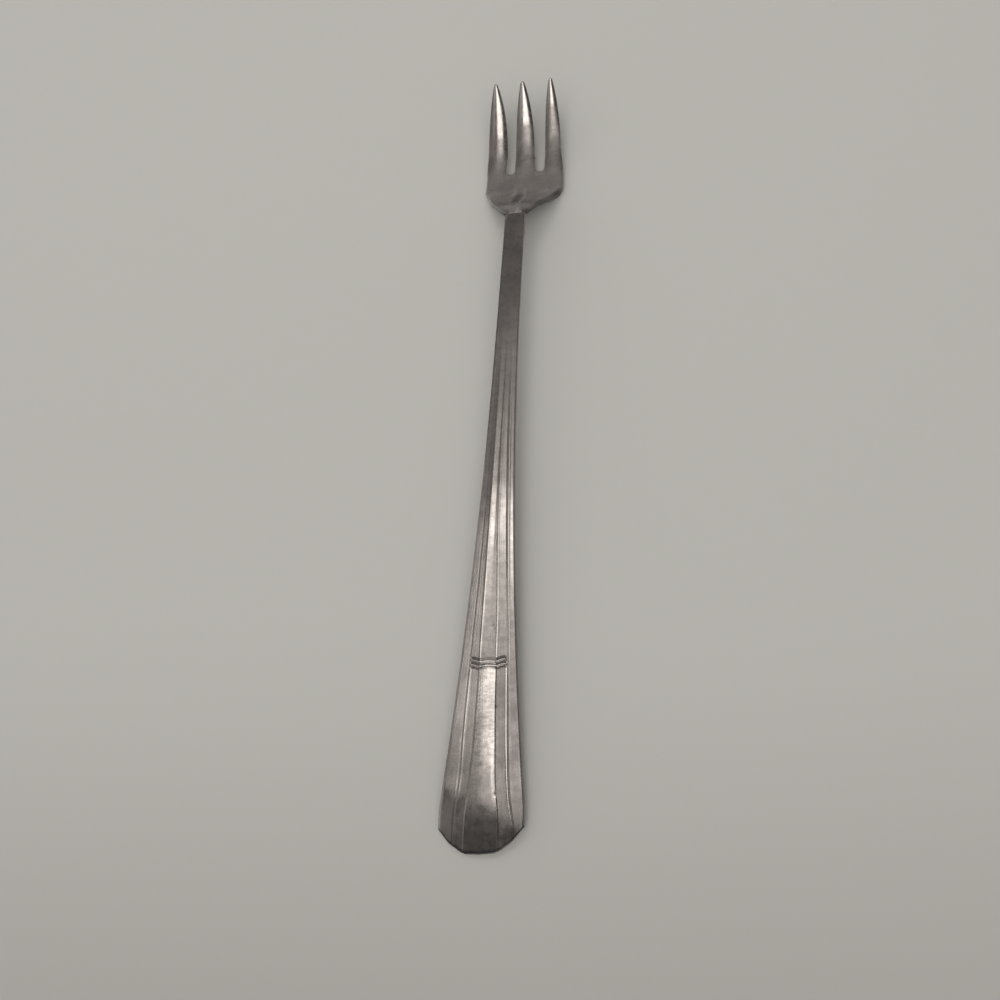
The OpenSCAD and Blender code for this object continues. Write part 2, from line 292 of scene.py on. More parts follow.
# Fall of the inner and outer bands towards the edges of the handle
BAND_FALL_LEFT = [
    (0, 0.05), (22, 0.04), (27, 0.045), (31, 0.03), (42, 0.03), (50, 0.035), (56, 0.05), (60, 0.09),
    (120, 0.1)]
BAND_FALL_RIGHT = [(0, -0.01), (27, -0.01), (37, -0.005), (42, 0.015), (46, 0.04), (50, 0.06), (120, 0.06)]
OUTER_FALL_LEFT = [
    (0, 0.08), (14, 0.025), (20, 0.015), (30, 0.025), (48, 0.025), (52, 0.02), (56, 0.03), (62, 0.06),
    (120, 0.07)]
OUTER_FALL_RIGHT = [(0, 0.03), (30, 0.03), (40, 0.06), (120, 0.06)]
# Where the rolled grip end begins, as distance across and place along, with its slope and how soft it starts
ROLL_LINE = [(-6, 8.7), (-2, 7.0), (0, 6.2), (2, 4.8), (3.8, 3.8), (4.4, 3.3), (6, 2.8)]
ROLL_SLOPE = 0.1
ROLL_R = 1.5
# Rounded edges: width and depth along the sides, the width towards the nose, and those of the grip end
BEVEL_W = 0.3
BEVEL_H = 0.38
NOSE_BEVEL_W = 0.6
END_BEVEL_W = 0.12
END_BEVEL_H = 0.1


def struck_pattern(x, s):
    """The parts of the struck pattern at each point, as distances across and as shares."""
    w = handle_x(s)
    a = np.abs(x)
    panel, groove = pattern_lines(s, x < 0)
    p = SimpleNamespace(w=w, a=a, panel=panel, groove=groove)
    p.fade = until(s, FADE_SPAN)
    p.lower = 1 - ease(s, CROSS_S - CROSS_PITCH, CROSS_S + CROSS_PITCH)
    p.past_roll = past(s, PAST_ROLL_SPAN)
    p.in_panel = 1 - ease(a, panel - PANEL_EDGE_IN_W, panel + by_side(x, *PANEL_EDGE_OUT_W))
    p.valley_x = w * along(VALLEY_SHARES, s)

    lower_loss = PANEL_RIDGE_LOWER_LOSS_SHARE * p.lower * p.past_roll
    upper_loss = by_side(x, *PANEL_RIDGE_LOSS_SHARES) * past(s, PANEL_RIDGE_LOSS_SPAN)
    p.panel_ridge = p.fade * hill(a, panel - PANEL_RIDGE_IN_W, LINE_W) * (1 - lower_loss) * (1 - upper_loss)
    p.ridge = p.fade * p.lower * past(a - groove, RIDGE_RISE_SPAN) * until(a - groove, RIDGE_FALL_SPAN)
    p.ridge = p.ridge * by_side(x, RIDGE_LEFT_SHARE * p.past_roll, past(s, RIDGE_RIGHT_SPAN))
    p.outer_ridge = p.fade * hill(a, groove + OUTER_RIDGE_OUT_W, LINE_W) * (x > 0)
    p.outer_ridge = p.outer_ridge * between(OUTER_RIDGE_LOWER_SHARE, 1, 1 - p.lower)

    p.deep = along_side(x, DEEP_LEFT_SHARES, DEEP_RIGHT_SHARES, s)
    p.cut = p.fade * hill(a, groove, LINE_W)
    band_w = np.maximum(groove - panel, LEAST_BAND_W)
    p.fine = p.fade * sum(hill(a, panel + share * band_w, FINE_LINE_W) for share in FINE_LINE_SHARES)
    p.cross = cross_band(x, s) * until(a - groove, CROSS_END_SPAN)
    p.cross_share = between(CROSS_PANEL_SHARE, 1, past(a - panel, CROSS_PANEL_SPAN))
    return p


def pattern_h(x, s, p):
    """Height of the handle's section and of its struck pattern."""
    crown_h = between(STEM_CROWN_H, GRIP_CROWN_H, until(s, STEM_SPAN))
    beyond_groove = by_side(x, np.maximum(p.a - p.groove, 0) / p.w, 0)
    section = -crown_h * ((x / p.w) ** 2 - beyond_groove ** 2)

    across_panel = np.clip(p.a / p.panel, 0, 1)
    panel = p.lower * p.in_panel * (PANEL_STEP_H + PANEL_CROWN_H * (1 - across_panel ** 2))
    right_w = np.maximum(p.panel - p.valley_x, VALLEY_LEAST_W)
    side_w = np.where(x < p.valley_x, p.valley_x + p.w * VALLEY_LEFT_SHARE, right_w)
    up_side = np.minimum(np.abs(x - p.valley_x) / side_w, 1)
    valley = p.in_panel * along(VALLEY_H, s) * (1 - np.hypot(up_side, VALLEY_ROUND_SHARE))
    band_fall = along_side(x, BAND_FALL_LEFT, BAND_FALL_RIGHT, s)
    outer_fall = along_side(x, OUTER_FALL_LEFT, OUTER_FALL_RIGHT, s)
    bands = band_fall * way(p.a, p.panel, p.groove) + outer_fall * way(p.a, p.groove, p.w)

    ridges = PANEL_RIDGE_H * p.panel_ridge + RIDGE_H * (p.ridge + p.outer_ridge) * past(s, RIDGE_START_SPAN)
    losses = [share * past(s, span) for share, span in zip(GROOVE_LOSS_SHARES, GROOVE_LOSS_SPANS)]
    kept = 1 - by_side(x, *losses)
    groove = GROOVE_H * np.minimum(1, LEAST_DEEP_SHARE + p.deep) * p.cut * kept
    before_line = along(ROLL_LINE, x) - s
    roll = ROLL_SLOPE * (before_line + np.hypot(before_line, ROLL_R)) / 2
    struck = p.fade * (panel - valley - bands) + ridges - groove - FINE_LINE_H * p.fine
    return section + struck - roll + CROSS_H * p.cross_share * p.cross


# How dark the metal is in the grooves, at the foot of the panel's edge above and below the cross band, on
# the fine lines, in the cross band and on the valley's line. At the foot and on the valley's line this is
# painted shade
GROOVE_DARK_SHARE = 0.9
FOOT_OUT_W = 0.17
FOOT_SHADOW_SHARES = (0.4, 0.25)
FOOT_RIGHT_LOWER_SHARE = 0.4
FOOT_RIGHT_SPAN = (10, 15)
FINE_DARK_SHARE = 0.15
CROSS_DARK_SHARE = 0.75
VALLEY_LINE_OUT_W = 0.1
VALLEY_SHADE_SHARE = 0.5
VALLEY_SHADE_SPAN = (56, 64)
# On the grip end, painted shade: on the panel, then on the bands and on the panel nearer the end
END_PANEL_SHADE_SHARE = 0.35
END_PANEL_SPAN = (4, 6.5)
END_SHADE_SHARES = (0.35, 0.15)
END_SPAN = (2, 4)
# Painted shade on the rims, by spans from the edge: on the left a thin one and, further up, a wide one, and
# on the grip end's rim, which is bare of it at its left corner
THIN_RIM_SHADE_SHARE = 0.5
THIN_RIM_SPAN = (0.04, 0.22)
WIDE_RIM_SHADE_SHARE = 0.9
WIDE_RIM_SPAN = (0.15, 0.4)
WIDE_RIM_START_SPAN = (60, 75)
END_RIM_SPAN = (0.3, 0.45)
BARE_RIM_SPAN = (0, 0.15)
BARE_CORNER_SPAN = (2.6, 3.2)


def line_share(x, s, end_distance, p):
    """How dark each point of the handle is, from 0 to 1, with painted shade at the panel's foot, on the
    valley's line, on the grip end and on the rims.
    """
    # A painted shadow at the foot of the panel's edge
    foot = hill(p.a, p.panel + FOOT_OUT_W, LINE_W)
    foot = foot * by_side(x, 1, between(1, FOOT_RIGHT_LOWER_SHARE, p.lower) * past(s, FOOT_RIGHT_SPAN))
    foot = between(*FOOT_SHADOW_SHARES, p.lower) * foot
    line = GROOVE_DARK_SHARE * p.deep * p.cut + p.fade * (foot + FINE_DARK_SHARE * p.fine)
    # Painted shade on the grip end
    line = line + END_PANEL_SHADE_SHARE * p.in_panel * until(s, END_PANEL_SPAN)
    line = line + between(*END_SHADE_SHARES, p.in_panel) * until(s, END_SPAN)
    # Painted shade along the valley's line
    valley_line = hill(x, p.valley_x + VALLEY_LINE_OUT_W, LINE_W) * past(s, VALLEY_SHADE_SPAN)
    line = line + p.fade * VALLEY_SHADE_SHARE * valley_line
    line = line + CROSS_DARK_SHARE * p.cross_share * np.clip(-p.cross, 0, 1) ** 2
    # Painted shade on the left rims and on the grip end's rim
    rim = THIN_RIM_SHADE_SHARE * until(p.w - p.a, THIN_RIM_SPAN)
    rim = rim + WIDE_RIM_SHADE_SHARE * past(s, WIDE_RIM_START_SPAN) * until(p.w - p.a, WIDE_RIM_SPAN)
    bare_corner = way(-x, *BARE_CORNER_SPAN) * until(end_distance, BARE_RIM_SPAN)
    end_rim = until(end_distance, END_RIM_SPAN) * (1 - bare_corner)
    return np.clip(line + by_side(x, rim, 0) + end_rim, 0, 1)


# How worn and bright the metal is on each inner band and on the panel, from 0 to 1
WORN_LEFT_SHARES = [
    (0, 0.1), (4, 0.15), (6, 0.45), (10, 0.35), (12, 0.15), (17, 0.35), (30, 0.4), (50, 0.45), (58, 0.2),
    (84, 0.25), (97, 0.05), (120, 0.08)]
WORN_RIGHT_SHARES = [
    (0, 0.2), (8, 0.3), (14, 0.1), (24, 0), (32, 0.05), (42, 0.25), (47, 0.35), (52, 0.65), (56, 0.8),
    (60, 0.4), (84, 0.3), (97, 0.05), (120, 0.08)]
WORN_PANEL_SHARES = [
    (0, 0), (4, 0.1), (6, 0.5), (10, 0.35), (13, 0.45), (16, 0.7), (19, 0.55), (22, 0.6), (25, 0.75),
    (27, 0.75), (29, 0.15), (38, 0.2), (42, 0.35), (47, 0.45), (51, 0.9), (57, 0.9), (60, 0.35), (84, 0.3),
    (97, 0.05), (120, 0.08)]
# What the outer bands add past a span from the groove: on the left near the grip end, on the right round
# one place
OUTSIDE_SPAN = (0, 0.12)
OUTER_WORN_SHARE = 0.4
OUTER_LEFT_SPAN = (8, 12)
OUTER_RIGHT_S = 48
OUTER_RIGHT_L = 7
# What the panel loses on its left side, across and along
PANEL_DULL_SHARE = 0.5
PANEL_DULL_ACROSS_SPAN = (-0.3, 0.6)
PANEL_DULL_SPAN = (19, 23)
# What the ridges add. The panel's are given above and below the cross band, with a loss on the left
RIDGE_WORN_SHARE = 0.9
OUTER_RIDGE_WORN_SHARE = 0.4
PANEL_RIDGE_WORN_SHARES = (0.7, 0.3)
PANEL_RIDGE_DULL_SHARE = 0.4
PANEL_RIDGE_DULL_SPAN = (43, 49)
# Painted highlights along the panel's right edge and on the right rim, and what the cross band's bars add
EDGE_HIGHLIGHT_SHARE = 0.6
EDGE_HIGHLIGHT_IN_W = 0.3
EDGE_HIGHLIGHT_W = 0.25
EDGE_HIGHLIGHT_START_SPAN = (2, 4)
EDGE_HIGHLIGHT_END_SPAN = (13, 17)
CROSS_WORN_SHARE = 0.6
RIM_HIGHLIGHT_SHARE = 0.6
RIM_HIGHLIGHT_SPAN = (0.15, 0.35)


def wear_and_highlight_share(x, s, p):
    """How worn and bright each point of the handle is, from 0 to 1, with painted highlights on the panel's
    right edge and right rim.
    """
    bands = along_side(x, WORN_LEFT_SHARES, WORN_RIGHT_SHARES, s)
    outer = by_side(x, until(s, OUTER_LEFT_SPAN), hill(s, OUTER_RIGHT_S, OUTER_RIGHT_L))
    bands = bands + past(p.a - p.groove, OUTSIDE_SPAN) * OUTER_WORN_SHARE * outer
    panel_dull = PANEL_DULL_SHARE * way(-x, *PANEL_DULL_ACROSS_SPAN) * until(s, PANEL_DULL_SPAN)
    wear_and_highlight = between(bands, along(WORN_PANEL_SHARES, s) * (1 - panel_dull), p.in_panel)
    ridge_dull = PANEL_RIDGE_DULL_SHARE * (x < 0) * past(s, PANEL_RIDGE_DULL_SPAN)
    panel_ridge = between(*PANEL_RIDGE_WORN_SHARES, p.lower) * (1 - ridge_dull) * p.panel_ridge
    wear_and_highlight = wear_and_highlight + RIDGE_WORN_SHARE * p.ridge + OUTER_RIDGE_WORN_SHARE * p.outer_ridge + panel_ridge
    # A painted highlight along the panel's right edge, near the grip end
    edge = hill(p.a, p.panel - EDGE_HIGHLIGHT_IN_W * p.past_roll, EDGE_HIGHLIGHT_W) * (x > 0)
    wear_and_highlight = wear_and_highlight + EDGE_HIGHLIGHT_SHARE * edge * past(s, EDGE_HIGHLIGHT_START_SPAN) * until(s, EDGE_HIGHLIGHT_END_SPAN)
    wear_and_highlight = wear_and_highlight + CROSS_WORN_SHARE * p.cross_share * np.clip(p.cross, 0, 1)
    # A painted highlight on the right rim
    wear_and_highlight = wear_and_highlight + RIM_HIGHLIGHT_SHARE * (x > 0) * until(p.w - p.a, RIM_HIGHLIGHT_SPAN)
    return np.clip(wear_and_highlight, 0, 1)


# How strongly the panel is brushed at least. Past the span, up to the cross band, it is so in full
LEAST_BRUSHED_SHARE = 0.35
BRUSHED_SPAN = (8, 16)


def handle_relief(x, s, end_distance):
    """Height of the pattern and rounded edges, and how dark, worn and brushed each point is, painted shade
    and highlights included.
    """
    p = struck_pattern(x, s)
    bevel_w = between(BEVEL_W, NOSE_BEVEL_W, ease(s, TANG_S, HANDLE_L))
    edges = edge_drop(p.w - p.a, bevel_w, BEVEL_H) + edge_drop(end_distance, END_BEVEL_W, END_BEVEL_H)
    brushed = p.in_panel * between(LEAST_BRUSHED_SHARE, 1, p.lower * past(s, BRUSHED_SPAN))
    marks = {"line": line_share(x, s, end_distance, p), "wear_and_highlight": wear_and_highlight_share(x, s, p), "brushed": brushed}
    return pattern_h(x, s, p) + edges, marks


# Small pits and nicks: distance across, place along, radius, depth. They are darker by their depth
PITS = [
    (-0.45, 12.5, 0.13, 0.03), (1.95, 8.2, 0.16, 0.04), (0.1, 8.5, 0.1, 0.02), (0.35, 34.4, 0.13, 0.03),
    (0.6, 33.9, 0.15, 0.02), (1.5, 21.3, 0.14, 0.03), (-0.4, 36.2, 0.08, 0.01), (-1.9, 17.0, 0.08, 0.02)]
PIT_DARK_PER_MM = 25


def pits(x, s):
    return sum(depth * hill(np.hypot(x - px, s - ps), 0, radius) for px, ps, radius, depth in PITS)


# Sides of a cell in a mesh's grid: where the next cell lies, and the corners between which a wall runs
WALL_SIDES = [
    ((-1, 0), (0, 0), (0, 1)), ((1, 0), (1, 1), (1, 0)), ((0, -1), (1, 0), (0, 0)), ((0, 1), (0, 1), (1, 1))]
WALL_STEPS = 3
WALL_BULGE_W = 0.03
LEAST_TANGENT_L = 1e-9


def wall_route(filled, index):
    """Each point of the outline of the filled cells, with the one that follows it."""
    padded = np.pad(filled, 1)
    rows, cols = filled.shape
    route = {}
    for (di, dj), (start_i, start_j), (finish_i, finish_j) in WALL_SIDES:
        beside = padded[1 + di:1 + di + rows, 1 + dj:1 + dj + cols]
        for i, j in zip(*np.nonzero(filled & ~beside)):
            route[index[i + start_i, j + start_j]] = index[i + finish_i, j + finish_j]
    return route


def new_object(name, data):
    """A new object in the scene."""
    made = bpy.data.objects.new(name, data)
    bpy.context.scene.collection.objects.link(made)
    return made


def mesh_piece(name, vertices, quads, marks):
    """A smooth mesh object from vertices in millimetres, with each mark as an attribute."""
    used = np.unique(quads)
    lookup = np.full(len(vertices), -1)
    lookup[used] = np.arange(len(used))
    places = vertices[used] * MM + np.array([0, START_Y * MM, 0])
    mesh = bpy.data.meshes.new(name)
    mesh.from_pydata(places.tolist(), [], lookup[quads].tolist())
    mesh.validate()
    mesh.polygons.foreach_set("use_smooth", np.ones(len(mesh.polygons), dtype=bool))
    for mark, values in marks.items():
        mesh.attributes.new(mark, "FLOAT", "POINT").data.foreach_set("value", values[used])
    mesh.update()
    return new_object(name, mesh)


def solid_mesh(name, top, bottom, filled, marks, wall_line=None):
    """A closed mesh between two grids of points (rows, columns, 3), over the filled cells only.

    The walls round the filled cells have a few steps and bulge a little, so their edges are soft. Each mark
    holds values for the top points, and becomes an attribute that the materials read. The walls are as dark
    as their upper edge, or as wall_line says."""
    rows, cols = top.shape[:2]
    count = rows * cols
    index = np.arange(count).reshape(rows, cols)
    flat_top = top.reshape(-1, 3)
    flat_bottom = bottom.reshape(-1, 3)
    i, j = np.nonzero(filled)
    corners = [index[i, j], index[i, j + 1], index[i + 1, j + 1], index[i + 1, j]]
    quads = [np.stack(corners, axis=1), count + np.stack([corners[0]] + corners[:0:-1], axis=1)]

    route = wall_route(filled, index)
    tops = np.array(list(route))
    nexts = np.array(list(route.values()))
    place = {point: k for k, point in enumerate(route)}
    order = np.array([place[point] for point in nexts])
    previous = np.empty_like(tops)
    previous[order] = tops
    tangent = flat_top[nexts] - flat_top[previous]
    outward = np.stack([tangent[:, 1], -tangent[:, 0], np.zeros(len(tops))], axis=1)
    outward /= np.maximum(np.linalg.norm(outward, axis=1, keepdims=True), LEAST_TANGENT_L)
    points = [flat_top, flat_bottom]
    rings = [tops]
    for k in range(1, WALL_STEPS):
        t = k / WALL_STEPS
        bulge = outward * WALL_BULGE_W * math.sin(math.pi * t)
        points.append(flat_top[tops] * (1 - t) + flat_bottom[tops] * t + bulge)
        rings.append(2 * count + (k - 1) * len(tops) + np.arange(len(tops)))
    rings.append(count + tops)
    for upper, lower in zip(rings[:-1], rings[1:]):
        quads.append(np.stack([upper, lower, lower[order], upper[order]], axis=1))

    vertices = np.concatenate(points)
    values = {mark: np.zeros(len(vertices)) for mark in marks}
    for mark, at_top in marks.items():
        values[mark][:count] = at_top.ravel()
    if "line" in marks:
        at_wall = values["line"][tops] if wall_line is None else np.full(len(tops), wall_line)
        values["line"][count + tops] = at_wall
        values["line"][2 * count:] = np.tile(at_wall, WALL_STEPS - 1)
    return mesh_piece(name, vertices, np.concatenate(quads), values)


# Rows of the handle's mesh: from each end, and their distance on the grip, in the cross band and on the stem
END_ROWS = [0, 0.03, 0.08, 0.15, 0.25, 0.4]
NOSE_ROWS = [0.25, 0.15, 0.08, 0.03, 0]
GRIP_ROWS_SPAN = (0.6, 60)
GRIP_ROW_L = 0.25
BAND_ROWS_SPAN = (CROSS_S - 1.5, CROSS_S + 1.8)
BAND_ROW_L = 0.07
STEM_ROW_L = 0.5
# The other rows stay this far from the cross band's, from the tang's and from the nose
BAND_CLEAR_L = 0.05
TANG_CLEAR_L = 0.1
NOSE_CLEAR_L = 0.3
# The columns are close together within this distance of a line of the pattern, or this share of the room
NEAR_LINE_W = 0.38
NEAR_MIDDLE_SHARE = 0.9
NEAR_SHARE = 0.45
LEAST_RIM_W = 0.1
# Columns from the middle out: to the panel's edge, over it, to the groove, over it, to the rim and over that
COLUMN_COUNTS = [6, 18, 6, 18, 6, 8]


def half_columns(s, left):
    """Distances of the mesh's columns from the middle line at s, close together at the pattern's lines."""
    w = handle_x(s)
    panel, groove = pattern_lines(s, left)
    near_panel = min(NEAR_LINE_W, NEAR_MIDDLE_SHARE * panel, NEAR_SHARE * (groove - panel))
    near_groove = min(NEAR_LINE_W, NEAR_SHARE * (groove - panel), NEAR_SHARE * (w - groove))
    knots = [0, panel - near_panel, panel + near_panel, groove - near_groove, groove + near_groove]
    knots += [max(w - BEVEL_W, groove + near_groove + LEAST_RIM_W), w]
    parts = [np.linspace(a, b, n, endpoint=False) for a, b, n in zip(knots[:-1], knots[1:], COLUMN_COUNTS)]
    return np.concatenate(parts + [[w]])


def handle_rows():
    """Places along of the rows of the handle's mesh."""
    first, last = BAND_ROWS_SPAN
    grip = np.arange(*GRIP_ROWS_SPAN, GRIP_ROW_L)
    grip = grip[(grip < first - BAND_CLEAR_L) | (grip > last + BAND_CLEAR_L)]
    stem = np.arange(GRIP_ROWS_SPAN[1], HANDLE_L - NOSE_CLEAR_L, STEM_ROW_L)
    stem = stem[np.abs(stem - TANG_S) > TANG_CLEAR_L]
    band = np.arange(first, last, BAND_ROW_L)
    lap = [TANG_S - LAP_GAP, TANG_S]
    return np.unique(np.concatenate([END_ROWS, grip, band, stem, lap, HANDLE_L - np.array(NOSE_ROWS)]))


# Uneven surface of the handle: height, seed and size of each layer. It starts this far from the grip end
HANDLE_LAYERS = [(0.012, 3, 9), (0.002, 4, 2.2)]
UNEVEN_START_L = 1


def make_handle():
    rows = handle_rows()
    right_x = np.array([half_columns(s, False) for s in rows])
    left_x = np.array([half_columns(s, True) for s in rows])
    x = np.concatenate([-left_x[:, :0:-1], right_x], axis=1)
    s = np.repeat(rows[:, None], x.shape[1], axis=1)
    u = x / handle_x(s)
    place = end_s(s, u)
    half_w = handle_x(place)
    x = u * half_w
    relief, marks = handle_relief(x, place, s)
    pit = pits(x, place)
    marks["line"] = np.clip(marks["line"] + PIT_DARK_PER_MM * pit, 0, 1)
    marks["streak"] = u * GRIP_W / 2
    z = arch_h(place) + relief - pit + uneven_h(x, place, HANDLE_LAYERS) * way(s, 0, UNEVEN_START_L)
    inset = np.where(s < TANG_S, INSET_W, 0)
    under_place = place + inset * (1 - way(s, 0, GRIP_PARALLEL_L))
    belly = BELLY_H * (1 - lap_share(s)) * u ** 2
    under_z = np.where(s >= TANG_S, LAP_H, np.maximum(0, stem_under_h(under_place) + belly))
    top = np.stack([x, place, z], axis=2)
    bottom = np.stack([(half_w - inset) * u, under_place, under_z], axis=2)
    filled = np.ones((x.shape[0] - 1, x.shape[1] - 1), dtype=bool)
    return solid_mesh("fluted_handle", top, bottom, filled, marks)


# Head: its base, the roots of its slots and the outline of its tines
BASE_L = 12.2
SLOT_START_L = 16.6
ROOT_R = 0.85
SHOULDER_S = HANDLE_L + BASE_L
ROOT_S = HANDLE_L + SLOT_START_L + ROOT_R
MID_TINE_W = 3.85
OUTER_TINE_W = 3.55
ROOT_SPAN_W = 14.8
TIP_SPAN_W = 10.86
TIP_W = 0.7
OUTER_TINE_X = (ROOT_SPAN_W - OUTER_TINE_W) / 2
BASE_POWERS = (0.6, 0.72)
TINE_POWER = 3.3
# Its height, thickness and hollows. The tines have their own thickness this far past their roots
HEAD_T = 1.5
TINE_T = 1.35
TIP_T = 0.6
TINE_THIN_L = 5.5
TIP_RISE = 7
RISE_POWER = 1.6
DROP_L = 13.2
DISH_H = 0.12
# Each tine's own lean and width: shift of its lower part, shift of its point and extra width, which come in
# over this share of its length
TINE_SHAPES = {-1: (0.24, -0.17, 0.29), 0: (0.03, -0.24, -0.16), 1: (-0.07, -0.1, -0.45)}
TINE_SHAPE_SHARE = 0.2
# A tine's crown: its depth, the share of that near the root, and where on each tine it becomes full
CROWN_H = 0.46
CROWN_ROOT_SHARE = 0.4
CROWN_SPANS = {-1: (137.5, 141.5), 0: (137, 144), 1: (139, 147)}
# How far to the right of the middle it lies, and along which part of the tine that comes in, as shares
CROWN_SHIFT_SHARE = 0.12
CROWN_SHIFT_SHARES = (0, 0.3)
# Each tine's own slight bend: side, place and depth. Its reach along and across
SAGS = [(0, 143.5, 0.2), (1, 144.5, 0.3)]
SAG_L = 5
SAG_W = 2.4

# Lines of the head's grid from left to right: side of the tine or slot, share of its half width, and kind
GridLine = namedtuple("GridLine", "side share on_tine")
TINE_COLUMNS = 27
SLOT_COLUMNS = 15
TINE_SHARES = np.sin(np.linspace(-1, 1, TINE_COLUMNS) * math.pi / 2)
SLOT_SHARES = np.linspace(-1, 1, SLOT_COLUMNS)[1:-1]
GRID_BANDS = ((-1, TINE_SHARES, True), (-1, SLOT_SHARES, False), (0, TINE_SHARES, True),
              (1, SLOT_SHARES, False), (1, TINE_SHARES, True))
HEAD_LINES = [GridLine(side, share, on_tine) for side, shares, on_tine in GRID_BANDS for share in shares]
SLOT_IN_X = MID_TINE_W / 2
SLOT_OUT_X = OUTER_TINE_X - OUTER_TINE_W / 2
SLOT_HALF_W = (SLOT_OUT_X - SLOT_IN_X) / 2
# Its rows: on the tang, on the neck after the joint, on the base, up to the roots and on the tines
TANG_ROWS = 14
NECK_ROWS = 16
NECK_ROWS_START_L = 0.12
BASE_ROWS = 60
ROOT_ROWS = 25
TINE_ROWS = 110


def head_h(s):
    """Height of the head's upper face on the middle line, before its hollows and crowns."""
    drop = ease(s, HANDLE_L, HANDLE_L + DROP_L)
    rise = way(s, HANDLE_L + DROP_L, FORK_L) ** RISE_POWER
    full = between(NECK_H, HEAD_T, drop) + TIP_RISE * rise
    return between(LAP_H, full, ease(s, HANDLE_L, HANDLE_L + JOINT_L))


def head_under_h(s):
    """Height of the head's underside."""
    base_t = between(STEM_T - LAP_T, HEAD_T + FLAT_H, ease(s, HANDLE_L, SHOULDER_S))
    tine_t = between(TINE_T, TIP_T, way(s, ROOT_S, FORK_L))
    t = between(base_t, tine_t, ease(s, SHOULDER_S, ROOT_S + TINE_THIN_L))
    return np.where(s <= HANDLE_L, stem_under_h(s), np.maximum(0, head_h(s) - t))


def base_x(s, left):
    """Half width of the base, a little fuller on the left."""
    flare = way(s, HANDLE_L + BEAD_FLOOR_L, SHOULDER_S) ** np.where(left, *BASE_POWERS)
    lower = between(STEM_W, SHOULDER_W, flare) / 2
    upper = between(SHOULDER_W, ROOT_SPAN_W, way(s, SHOULDER_S, ROOT_S)) / 2
    return np.where(s <= HANDLE_L, handle_x(s), np.where(s <= SHOULDER_S, lower, upper))


def tine_x(s, side, share, inset):
    """Place across of a line on a tine, at this share of its half width."""
    t = way(s, ROOT_S, FORK_L)
    lower_shift, tip_shift, extra_w = TINE_SHAPES[side]
    begun = ease(t, 0, TINE_SHAPE_SHARE)
    w = (MID_TINE_W if side == 0 else OUTER_TINE_W) + extra_w * begun
    half_w = between(w, TIP_W, t ** TINE_POWER) * (0.5 - inset / w)
    shift = begun * between(lower_shift, tip_shift, t ** TINE_POWER)
    return side * between(OUTER_TINE_X, TIP_SPAN_W / 2, t) + shift + half_w * share


def root_x(line, inset):
    """Place across of a grid line at the roots of the tines."""
    if line.on_tine:
        return tine_x(ROOT_S, line.side, line.share, inset)
    return line.side * (SLOT_IN_X + SLOT_OUT_X) / 2 + line.share * (SLOT_HALF_W + inset)


def root_end_s(line, inset):
    """Where a grid line leaves the base: at a tine's root, or at the round end of a slot."""
    if line.on_tine:
        return ROOT_S
    beyond = max(0, SLOT_HALF_W * abs(line.share) - SLOT_HALF_W + ROOT_R)
    return ROOT_S - inset - math.sqrt(ROOT_R ** 2 - beyond ** 2)


def tip_end_s(line, inset):
    """Where a grid line ends at the rounded point of its tine."""
    return FORK_L - inset - TIP_W * (1 - math.sqrt(1 - line.share ** 2 / 2))


def base_place(s, line, inset):
    """Place across of a grid line on the base of the head."""
    across = root_x(line, inset)
    return (base_x(s, across < 0) - inset) * across / (ROOT_SPAN_W / 2 - inset)


def head_grid(inset):
    """Places across and along, and the share of the way down a tine's crown, for the whole head."""
    tang = np.linspace(TANG_S, HANDLE_L, TANG_ROWS)
    joint = [HANDLE_L + JOINT_L, HANDLE_L + 2 * JOINT_L]
    neck = np.linspace(HANDLE_L + NECK_ROWS_START_L, SEAT_S, NECK_ROWS)
    base = np.linspace(SEAT_S, SHOULDER_S, BASE_ROWS)[1:]
    rows = []
    for s in np.concatenate([tang, joint, neck, base]):
        rows.append([(base_place(s, line, inset), s, 0) for line in HEAD_LINES])
    for k in np.linspace(0, 1, ROOT_ROWS)[1:]:
        row = []
        for line in HEAD_LINES:
            s = between(SHOULDER_S, root_end_s(line, inset), k)
            down = line.share ** 2 if line.on_tine else 1
            row.append((base_place(s, line, inset), s, ease(k, 0, 1) * down))
        rows.append(row)
    root_row = len(rows) - 1
    for k in np.linspace(0, 1, TINE_ROWS)[1:]:
        shift = CROWN_SHIFT_SHARE * past(k, CROWN_SHIFT_SHARES)
        row = []
        for line in HEAD_LINES:
            s = between(ROOT_S, tip_end_s(line, inset), k)
            x = tine_x(s, line.side, line.share, inset) if line.on_tine else root_x(line, inset)
            row.append((x, s, (line.share - shift) ** 2))
        rows.append(row)
    return np.array(rows), root_row


def sag_h(x, s):
    """How far the tines' own slight bends lower each point."""
    return sum(depth * hill(x, side * OUTER_TINE_X, SAG_W) * hill(s, place, SAG_L)
               for side, place, depth in SAGS)


# The hollow tongue on the base of the head: its middle, half its width and length, its depth and its rim's
# height. As shares of its size: where it slopes, its rim's place and width, and its uneven outline
TONGUE_X = -0.75
TONGUE_S = 126.2
TONGUE_W = 1.2
TONGUE_L = 4.8
TONGUE_H = 0.1
TONGUE_RIM_H = 0.07
TONGUE_SLOPE_SHARES = (0.3, 1.0)
TONGUE_RIM_SHARES = (1.25, 0.3)
TONGUE_LAYERS = [(0.1, 11, 4)]


def tongue(x, s):
    """From 0 outside the hollow tongue to 1 in its middle, and the rim round it."""
    r = np.hypot((x - TONGUE_X) / TONGUE_W, (s - TONGUE_S) / TONGUE_L) + uneven_h(x, s, TONGUE_LAYERS)
    return until(r, TONGUE_SLOPE_SHARES), hill(r, *TONGUE_RIM_SHARES)


